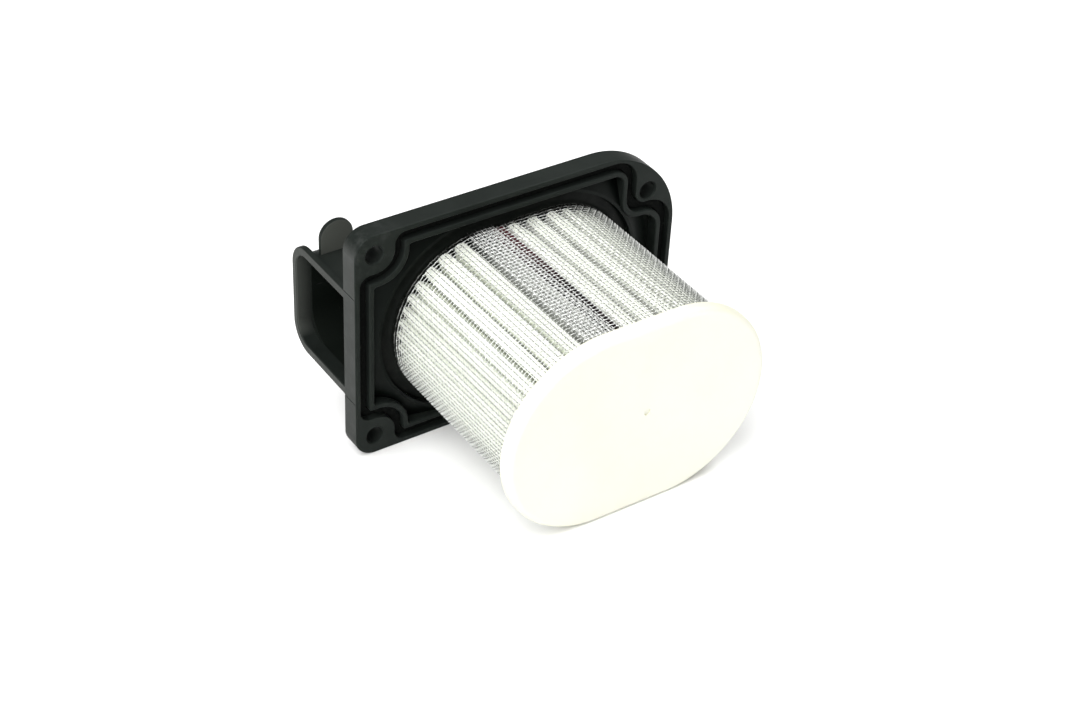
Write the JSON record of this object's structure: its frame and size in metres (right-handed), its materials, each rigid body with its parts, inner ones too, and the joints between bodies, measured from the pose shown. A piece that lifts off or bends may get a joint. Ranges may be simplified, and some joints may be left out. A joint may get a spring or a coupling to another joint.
{
  "type": "air filter",
  "caption": "Engine air filter: flanged black base with a side-entry clean-air duct and an obround pleated element in a wire mesh sleeve, closed by a soft cream end cap.",
  "frame": {"origin": "middle of the flange's sealing face, at half of its length and half of its height", "axes": "+X along the flange's long side, away from the duct mouth; +Z along its short side, up; -Y out of the sealing face, along the filter element; the duct is on the +Y side"},
  "size_m": [0.13, 0.1205, 0.09],
  "materials": {
    "moulded_plastic": "satin black glass-filled moulding",
    "seal_rubber": "matt black foam rubber",
    "potting_compound": "dark potting compound",
    "wire_mesh": "bright woven wire",
    "filter_paper": "white pleated filter paper",
    "seam_metal": "dark crimped strip",
    "core_mesh": "galvanised wire mesh",
    "cap_polyurethane": "smooth moulded polyurethane, cream white"
  },
  "bodies": {
    "root": {"base_plate": "moulded_plastic", "intake_duct": "moulded_plastic", "flange_seal": "seal_rubber", "base_potting": "potting_compound", "outer_mesh": "wire_mesh", "pleated_media": "filter_paper", "media_seam_clip": "seam_metal", "inner_core": "core_mesh", "end_cap": "cap_polyurethane"}
  },
  "joints": []
}
